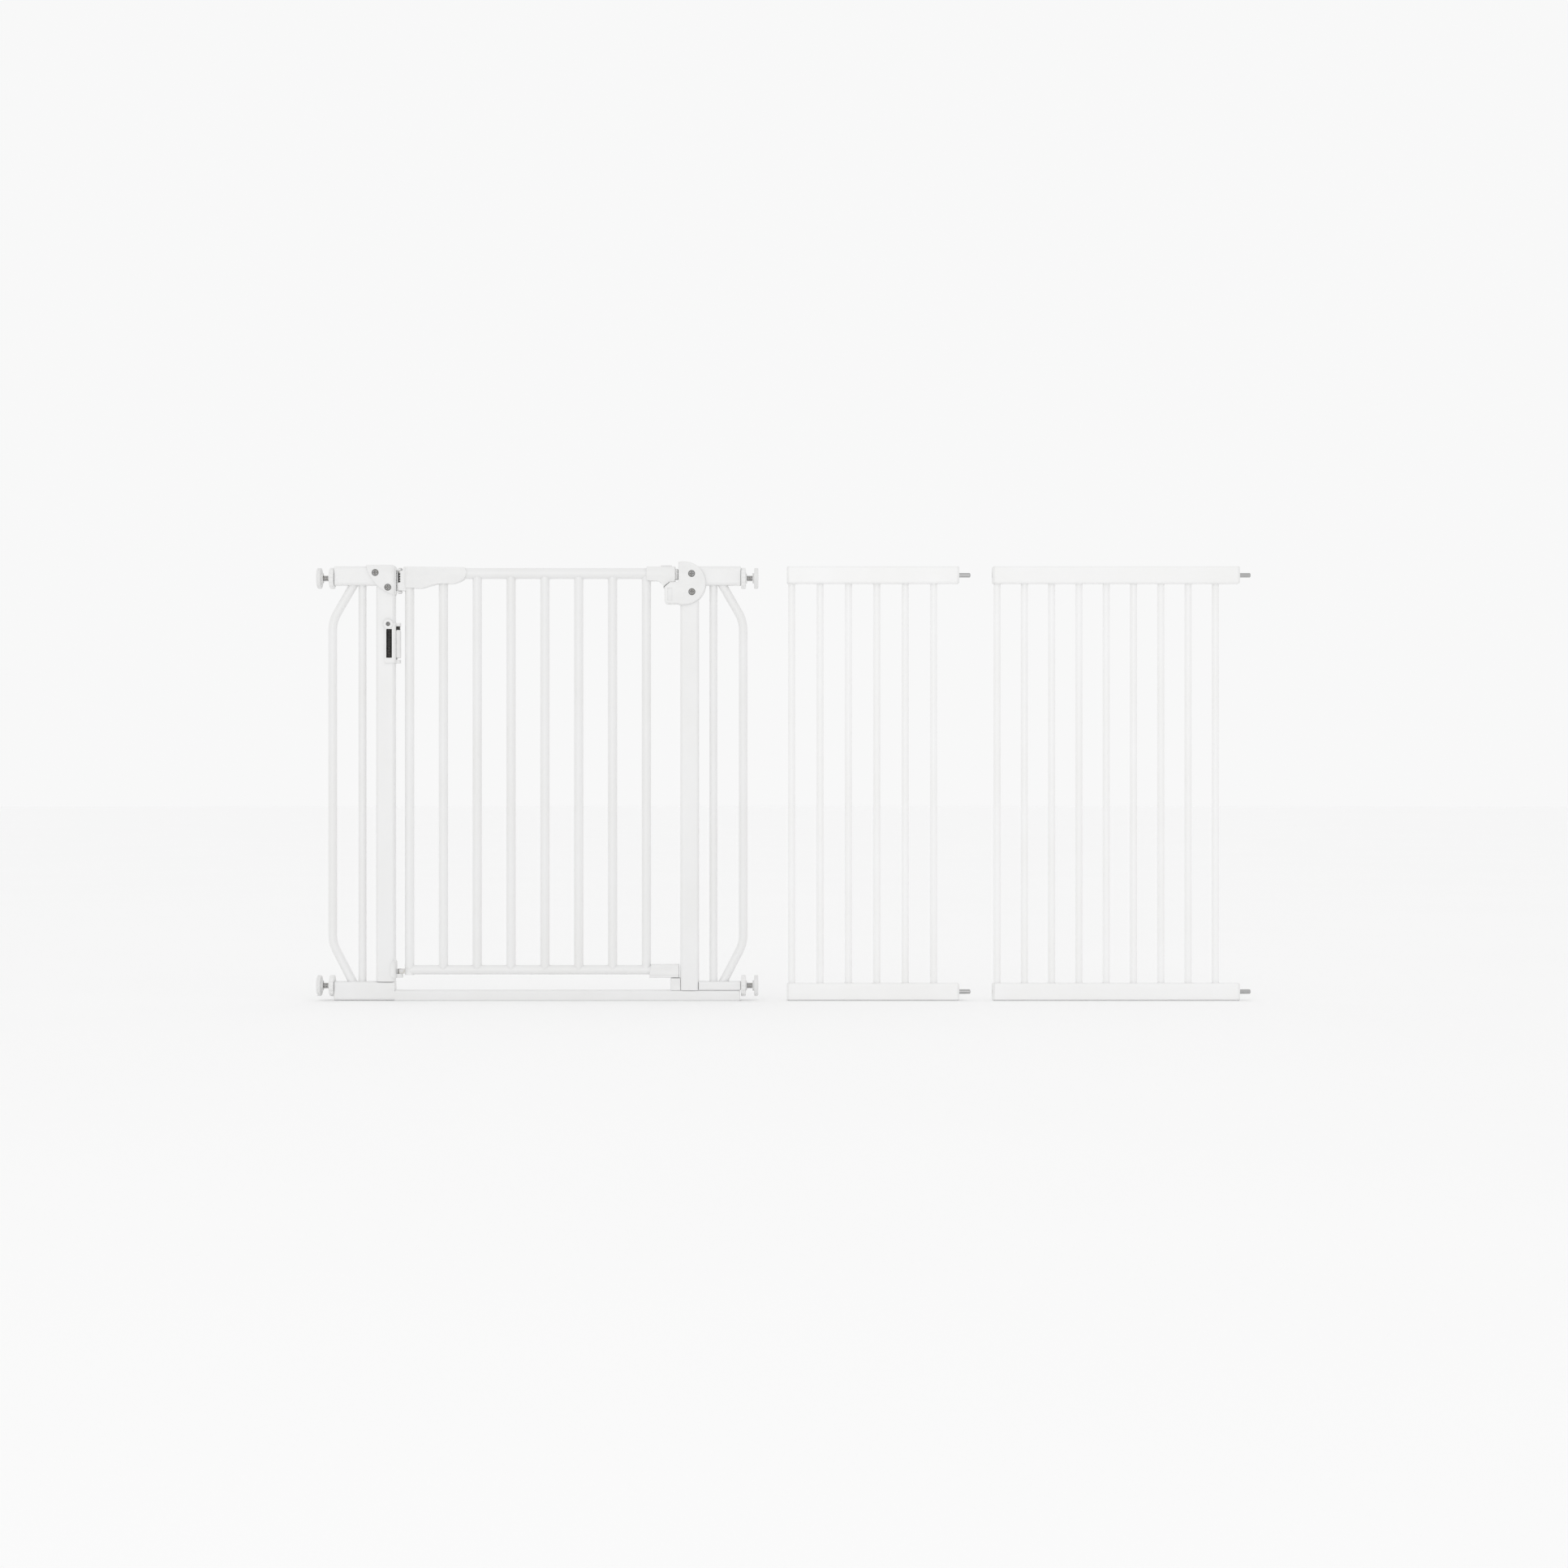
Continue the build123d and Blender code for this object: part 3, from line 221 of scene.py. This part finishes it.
def moulded_plastic(name, value, grain_size, roughness):
    """White moulding with an eroded grain and faint flow marks."""
    nodes = Nodes(name)
    flow = nodes.noise(22.0, 3.0, stretch=(1.0, 1.0, 3.0))
    light, dull, painted_shade_colour = [grey(value * share, PLASTIC_TINT) for share in (1.0, 0.97, 0.86)]
    body = nodes.mix(nodes.between(flow, 0.0, 1.0), light, dull)
    # Painted shade: the moulding goes greyer in gaps and corners about 4 mm across.
    shaded = nodes.shade_crevices(body, painted_shade_colour, 4 * MM, 0.2)
    grain = nodes.grain(1.0 / grain_size)
    fine = nodes.noise(2.4 / grain_size, 2.0)
    normal = nodes.bump(fine, 0.02 * MM, 0.5, nodes.bump(grain, 0.06 * MM, 0.5))
    level = nodes.between(nodes.noise(120.0, 3.0), roughness - 0.05, roughness + 0.06)
    return nodes.finish(shaded, level, normal, Specular_IOR_Level=0.42)


def zinc_plate(name, value):
    """Zinc-plated steel: fine drawn lines, cloudy passivation and painted shade in its recesses."""
    nodes = Nodes(name)
    cloud = nodes.noise(240.0, 4.0)
    unshaded_colour = nodes.mix(
        nodes.between(cloud, 0.0, 1.0), grey(value, (1.0, 1.0, 1.02)), grey(value * 0.82, (1.03, 1.0, 0.93))
    )
    # Painted shade: much greyer in recesses about 1.5 mm across.
    colour = nodes.shade_crevices(unshaded_colour, grey(value * 0.35), 1.5 * MM, 0.2)
    lines = nodes.noise(900.0, 3.0, stretch=(1.0, 1.0, 9.0))
    normal = nodes.bump(lines, 0.03 * MM, 0.5)
    level = nodes.between(nodes.noise(420.0, 3.0), 0.24, 0.40)
    return nodes.finish(colour, level, normal, Metallic=1.0)


def bright_plate(name, value):
    """Polished plated pin with a few hairline rubs from being pushed in and out."""
    nodes = Nodes(name)
    rubs = nodes.noise(700.0, 4.0, 0.7, stretch=(0.08, 1.0, 1.0))
    colour = nodes.mix(nodes.between(rubs, 0.0, 1.0, 0.5, 0.75), grey(value), grey(value * 0.86))
    normal = nodes.bump(rubs, 0.01 * MM, 0.4)
    level = nodes.between(rubs, 0.05, 0.20, 0.45, 0.75)
    return nodes.finish(colour, level, normal, Metallic=1.0)


def oiled_steel(name, value):
    """Blackened spring wire with an oily sheen."""
    nodes = Nodes(name)
    cloud = nodes.noise(320.0, 4.0)
    colour = nodes.mix(nodes.between(cloud, 0.0, 1.0), grey(value), grey(value * 1.9, (1.05, 1.0, 0.94)))
    normal = nodes.bump(nodes.noise(1800.0, 2.0), 0.02 * MM, 0.5)
    level = nodes.between(nodes.noise(260.0, 3.0), 0.26, 0.46)
    return nodes.finish(colour, level, normal, Metallic=0.85)


def floor_surface():
    """Pale studio floor with the faintest mottle."""
    nodes = Nodes("studio_floor")
    mottle = nodes.noise(1.4, 3.0)
    colour = nodes.mix(nodes.between(mottle, 0.0, 1.0), grey(0.985), grey(0.98))
    normal = nodes.bump(nodes.noise(90.0, 2.0), 0.1 * MM, 0.2)
    return nodes.finish(colour, nodes.between(mottle, 0.85, 0.92), normal, Specular_IOR_Level=0.1)


materials = {
    "powder_coat": powder_coat("gate_powder_coat", 0.84),
    "panel_coat": powder_coat("panel_powder_coat", 0.90),
    "white_plastic": moulded_plastic("white_moulding", 0.84, 0.55 * MM, 0.44),
    "pad_plastic": moulded_plastic("soft_pad", 0.80, 0.9 * MM, 0.58),
    "zinc_steel": zinc_plate("zinc_plated_steel", 0.60),
    "screw_steel": zinc_plate("screw_plating", 0.24),
    "bright_steel": bright_plate("bright_pin", 0.46),
    "spring_steel": oiled_steel("spring_wire", 0.045),
}


# ---------------------------------------------------------------- mesh helpers
def bridge(first, second):
    """Faces between two rings of vertices; either ring may be a single point."""
    count = max(len(first), len(second))
    faces = []
    for index in range(count):
        following = (index + 1) % count
        face = []
        for ring, place in ((first, index), (first, following), (second, following), (second, index)):
            corner = ring[place % len(ring)]
            if corner not in face:
                face.append(corner)
        faces.append(face)
    return faces


def join_rings(points_of_rings, loop):
    """Vertices and faces of a skin through a row of rings; loop joins the last to the first."""
    vertices, rings = [], []
    for points in points_of_rings:
        rings.append(list(range(len(vertices), len(vertices) + len(points))))
        vertices += points
    faces = []
    for first, second in zip(rings, rings[1:]):
        faces += bridge(first, second)
    if loop:
        faces += bridge(rings[-1], rings[0])
    return vertices, faces


def make_piece(name, skins, slot, body):
    """One object from closed skins, riding on a body with a material slot of the record."""
    mesh = bpy.data.meshes.new(name)
    vertices, faces = [], []
    for skin_vertices, skin_faces in skins:
        start = len(vertices)
        vertices += skin_vertices
        faces += [[start + corner for corner in face] for face in skin_faces]
    mesh.from_pydata(vertices, [], faces)
    form = bmesh.new()
    form.from_mesh(mesh)
    bmesh.ops.recalc_face_normals(form, faces=form.faces)
    form.to_mesh(mesh)
    form.free()
    mesh.shade_smooth()
    mesh.set_sharp_from_angle(angle=math.radians(SHARP_ANGLE))
    mesh.materials.append(materials[slot])
    piece = bpy.data.objects.new(name, mesh)
    bpy.context.collection.objects.link(piece)
    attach(piece, body)
    return piece


def arc(centre, radius, start, end, steps=6):
    """Points of an arc from one angle to another, in degrees."""
    points = []
    for step in range(steps + 1):
        angle = math.radians(start + (end - start) * step / steps)
        points.append((centre[0] + radius * math.cos(angle), centre[1] + radius * math.sin(angle)))
    return points


def turned(profile, z, reach=None, loop=False):
    """Skin turned about a line along X at height z, from (x, radius) points.

    reach(x, radius, angle) may vary the radius round the axis.
    """
    rings = []
    for x, radius in profile:
        if radius == 0:
            rings.append([(x, 0.0, z)])
            continue
        ring = []
        for side in range(SIDES):
            angle = math.tau * side / SIDES
            out = reach(x, radius, angle) if reach else radius
            ring.append((x, out * math.cos(angle), z + out * math.sin(angle)))
        rings.append(ring)
    return join_rings(rings, loop)


def coil(centre, radius, wire, low, high, turns):
    """Skin of a wire wound about an upright line, with closed ends."""
    low_end, high_end = low + wire, high - wire
    rise = (high_end - low_end) / (math.tau * turns)
    slope = math.atan2(rise, radius)
    steps = round(turns * STEPS_PER_TURN)
    rings = []
    for step in range(steps + 1):
        angle = math.tau * turns * step / steps
        outward = Vector((math.cos(angle), math.sin(angle), 0))
        level = Vector((-math.sin(angle), math.cos(angle), 0))
        along = level * math.cos(slope) + Vector((0, 0, math.sin(slope)))
        across = along.cross(outward)
        middle = Vector((centre[0], centre[1], low_end + rise * angle)) + outward * radius
        ring = []
        for side in range(WIRE_SIDES):
            turn = math.tau * side / WIRE_SIDES
            ring.append(tuple(middle + (outward * math.cos(turn) + across * math.sin(turn)) * wire))
        if step == 0:
            rings.append([tuple(middle - along * wire * 0.4)])
        rings.append(ring)
        if step == steps:
            rings.append([tuple(middle + along * wire * 0.4)])
    return join_rings(rings, loop=False)


# ---------------------------------------------------------------- measures of CAD nodes
def lying_round(node):
    """The height of the middle line, and the radius, of a round node that lies along X."""
    low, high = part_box(node)
    return (low.z + high.z) / 2, (high.z - low.z) / 2


def outer_end(node, out):
    """The x of a node's end that faces the wall, and the node's length."""
    low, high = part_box(node)
    return (high.x if out > 0 else low.x), high.x - low.x


def solid_boxes(node):
    """The low and high corner of each separate solid in a node, left to right."""
    mesh = frame["nodes"][node].data
    owner = list(range(len(mesh.vertices)))

    def root(index):
        while owner[index] != index:
            owner[index] = owner[owner[index]]
            index = owner[index]
        return index

    where = {}
    for vertex in mesh.vertices:
        key = tuple(round(value, 6) for value in vertex.co)
        owner[vertex.index] = root(where.setdefault(key, vertex.index))
    for edge in mesh.edges:
        owner[root(edge.vertices[0])] = root(edge.vertices[1])
    points = {}
    for vertex in mesh.vertices:
        points.setdefault(root(vertex.index), []).append(vertex.co)
    boxes = []
    for group in points.values():
        low = Vector([min(point[axis] for point in group) for axis in range(3)])
        high = Vector([max(point[axis] for point in group) for axis in range(3)])
        boxes.append((low, high))
    return sorted(boxes, key=lambda corners: corners[0].x)


def solid_middles(node):
    """The x of each separate solid in a node of upright bars, left to right."""
    return [(low.x + high.x) / 2 for low, high in solid_boxes(node)]


# ---------------------------------------------------------------- pressure spindles
def spindle(level, side):
    """Rod with a right-hand rolled thread."""
    node = f"spindle_{level}_{side}"
    low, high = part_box(node)
    z, radius = lying_round(node)
    lead_in = 1.0 * MM

    def reach(x, plain, angle):
        phase = x / THREAD_PITCH - angle / math.tau
        ridge = min(1.0, max(0.0, 0.5 + 0.85 * math.cos(math.tau * phase)))
        room = radius - lead_in + min(x - low.x, high.x - x)
        return min(room, plain - THREAD_DEPTH * (1 - ridge))

    rows = math.ceil((high.x - low.x) / THREAD_PITCH * THREAD_ROWS)
    profile = [(low.x, 0)]
    profile += [(low.x + (high.x - low.x) * row / rows, radius) for row in range(rows + 1)]
    profile.append((high.x, 0))
    piece = make_piece(f"threaded_{node}", [turned(profile, z, reach)], "zinc_steel", node)
    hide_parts(node)


def wall_pad(level, side, out):
    """Soft disc with ringed grip on its face and a hub for the spindle."""
    node = f"wall_pad_{level}_{side}"
    end, depth = outer_end(node, out)
    z, radius = lying_round(node)
    profile = [(0, 0)]
    for groove in range(GRIP_GROOVES):
        start = GRIP_START + GRIP_PITCH * groove
        for share, sunk in ((0, 0), (0.25, GRIP_DEPTH), (0.75, GRIP_DEPTH), (1, 0)):
            profile.append((sunk, start + share * GRIP_WIDTH))
    profile += arc((PAD_RIM, radius - PAD_RIM), PAD_RIM, 180, 90)
    waist = PAD_DISC / 2
    profile += [(waist - 2 * PAD_LINE, radius), (waist, radius - PAD_LINE), (waist + 2 * PAD_LINE, radius)]
    profile += arc((PAD_DISC - PAD_RIM, radius - PAD_RIM), PAD_RIM, 90, 0)
    profile += arc((PAD_DISC + PAD_FILLET, PAD_HUB + PAD_FILLET), PAD_FILLET, 180, 270, 4)
    profile += arc((depth - PAD_HUB_EDGE, PAD_HUB - PAD_HUB_EDGE), PAD_HUB_EDGE, 90, 0, 4)
    socket_floor = depth - PAD_SOCKET_DEPTH
    profile += [(depth, PAD_SOCKET_RADIUS), (socket_floor, PAD_SOCKET_RADIUS), (socket_floor, 0)]
    profile = [(end - out * distance, reach) for distance, reach in profile]
    piece = make_piece(f"ringed_{node}", [turned(profile, z)], "pad_plastic", f"spindle_{level}_{side}")
    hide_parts(node)


def hand_wheel(level, side, out):
    """Wheel nut with a scalloped rim and a dished face."""
    node = f"hand_wheel_{level}_{side}"
    end, depth = outer_end(node, out)
    z, radius = lying_round(node)
    bore_edge = WHEEL_BORE + WHEEL_BORE_EDGE
    dish = WHEEL_HUB_LENGTH + WHEEL_DISH
    lip = radius - WHEEL_LIP

    def reach(x, plain, angle):
        rim_share = max(0.0, (plain / radius - 0.8) / 0.2) ** 1.5
        notch = max(0.0, math.cos(WHEEL_LOBES * angle)) ** 1.3
        return plain - WHEEL_NOTCH * notch * min(1.0, rim_share)

    profile = [(WHEEL_BORE_EDGE, WHEEL_BORE), (0, bore_edge)]
    profile += arc((WHEEL_HUB_EDGE, WHEEL_HUB - WHEEL_HUB_EDGE), WHEEL_HUB_EDGE, 180, 90, 4)
    profile += arc((dish - WHEEL_FILLET, WHEEL_HUB + WHEEL_FILLET), WHEEL_FILLET, 270, 360, 4)
    profile += [
        (dish, lip - WHEEL_LIP_SLOPE),
        (dish - WHEEL_DISH / 3, lip - WHEEL_LIP_SLOPE / 2),
        (WHEEL_HUB_LENGTH, lip),
    ]
    profile += arc((WHEEL_HUB_LENGTH + WHEEL_RIM, radius - WHEEL_RIM), WHEEL_RIM, 180, 90)
    profile += [((WHEEL_HUB_LENGTH + depth) / 2, radius)]
    profile += arc((depth - WHEEL_RIM, radius - WHEEL_RIM), WHEEL_RIM, 90, 0)
    profile += [(depth, radius - WHEEL_BACK_RING), (depth, bore_edge), (depth - WHEEL_BORE_EDGE, WHEEL_BORE)]
    profile = [(end - out * distance, plain) for distance, plain in profile]
    piece = make_piece(f"scalloped_{node}", [turned(profile, z, reach, loop=True)], "white_plastic",
                       f"wheel_{level}_{side}")
    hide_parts(node)


# ---------------------------------------------------------------- springs and welds
def closer_springs():
    """Close-wound coils of the hold-open unit: the long one and the short one above the bar."""
    skins = []
    for low, high in solid_boxes("closer_spring"):
        middle, radius = (low + high) / 2, (high.x - low.x) / 2
        turns = round((high.z - low.z) / (2 * CLOSE_WIRE)) - 1
        skins.append(coil((middle.x, middle.y), radius - CLOSE_WIRE, CLOSE_WIRE, low.z, high.z, turns))
    piece = make_piece("wound_closer_spring", skins, "spring_steel", "gate_frame")
    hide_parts("closer_spring")


def weld_bead(x, bar_radius, height_at):
    """Rippled bead round an upright bar; height_at(y) is where the bar meets its rail."""
    rings = []
    for step in range(SIDES):
        angle = math.tau * step / SIDES
        outward = Vector((math.cos(angle), math.sin(angle), 0))
        y = bar_radius * math.sin(angle)
        middle = Vector((x, 0, height_at(y))) + outward * bar_radius
        size = BEAD_RADIUS * (1 + 0.12 * math.cos(BEAD_RIPPLES * angle))
        ring = []
        for side in range(BEAD_SIDES):
            turn = math.tau * side / BEAD_SIDES
            upward = Vector((0, 0, math.sin(turn)))
            ring.append(tuple(middle + (outward * math.cos(turn) + upward) * size))
        rings.append(ring)
    return join_rings(rings, loop=True)


def door_welds():
    """Beads where the free bars meet the round rails."""
    top_z, top_radius = lying_round("door_top_rail")
    low_z, low_radius = lying_round("door_bottom_rail")
    bar_low, bar_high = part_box("door_bars")
    radius = (bar_high.y - bar_low.y) / 2
    bars = solid_middles("door_bars")
    stile_low, stile_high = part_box("door_hinge_stile")
    skins = []
    for x in bars[1:-1]:
        skins.append(weld_bead(x, radius, lambda y: top_z - math.sqrt(top_radius ** 2 - y * y)))
    for x in [(stile_low.x + stile_high.x) / 2] + bars[:-1]:
        skins.append(weld_bead(x, radius, lambda y: low_z + math.sqrt(low_radius ** 2 - y * y)))
    make_piece("door_welds", skins, "powder_coat", "door")


def straight_welds(name, bars_node, body, slot):
    """Beads at both ends of upright bars that stand on flat faces."""
    low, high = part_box(bars_node)
    radius = (high.y - low.y) / 2
    skins = []
    for x in solid_middles(bars_node):
        skins.append(weld_bead(x, radius, lambda y: low.z))
        skins.append(weld_bead(x, radius, lambda y: high.z))
    make_piece(name, skins, slot, body)


# ---------------------------------------------------------------- studio
def softbox(name, place, target, size, power):
    """Round area light that looks at the target."""
    light = bpy.data.lights.new(name, "AREA")
    light.shape = "DISK"
    light.size = size
    light.energy = power
    lamp = bpy.data.objects.new(name, light)
    lamp.location = place
    lamp.rotation_euler = (Vector(target) - Vector(place)).to_track_quat("-Z", "Y").to_euler()
    bpy.context.collection.objects.link(lamp)


def studio():
    """Pale floor, even surround and one large, low, far light from the front."""
    floor_z = cad_bounds[0].z
    rim = [(x, y, floor_z) for x, y in arc((0, 0), FLOOR_RADIUS, 0, 360, FLOOR_SIDES)[:-1]]
    mesh = bpy.data.meshes.new("studio_floor")
    mesh.from_pydata(rim, [], [list(range(FLOOR_SIDES))])
    mesh.materials.append(floor_surface())
    floor = bpy.data.objects.new("studio_floor", mesh)
    bpy.context.collection.objects.link(floor)

    world = bpy.data.worlds.new("studio")
    world.use_nodes = True
    world.node_tree.nodes["Background"].inputs["Color"].default_value = (1.0, 1.0, 1.0, 1.0)
    world.node_tree.nodes["Background"].inputs["Strength"].default_value = WORLD_STRENGTH
    bpy.context.scene.world = world
    softbox("front_light", LIGHT_PLACE, LIGHT_TARGET, LIGHT_SIZE, LIGHT_POWER)


def camera():
    """Camera square to the front, at the height and distance named above."""
    data = bpy.data.cameras.new("camera")
    data.sensor_width = SENSOR_WIDTH
    data.lens = SENSOR_WIDTH * CAMERA_DISTANCE / FRAME_WIDTH
    viewer = bpy.data.objects.new("camera", data)
    viewer.location = (0, -CAMERA_DISTANCE, CAMERA_HEIGHT)
    viewer.rotation_euler = (math.radians(90), 0, 0)
    bpy.context.collection.objects.link(viewer)
    bpy.context.scene.camera = viewer


def dress_cad_nodes():
    """Give each CAD node the material of its slot in the record."""
    for subpart in frame["record"]["subparts"]:
        for slot in frame["nodes"][subpart["node"]].material_slots:
            slot.material = materials[subpart["material_slot"]]


def main():
    """Dress the CAD nodes, replace what is detailed here, and set up the studio."""
    dress_cad_nodes()
    for level, side in CORNERS:
        out = -1 if side == "left" else 1
        spindle(level, side)
        wall_pad(level, side, out)
        hand_wheel(level, side, out)
    closer_springs()
    door_welds()
    straight_welds("side_bar_welds", "side_bars", "gate_frame", "powder_coat")
    for letter in "ab":
        straight_welds(f"panel_{letter}_welds", f"panel_{letter}_bars", f"panel_{letter}", "panel_coat")
    studio()
    camera()
    bpy.context.scene.view_settings.view_transform = "Standard"


main()
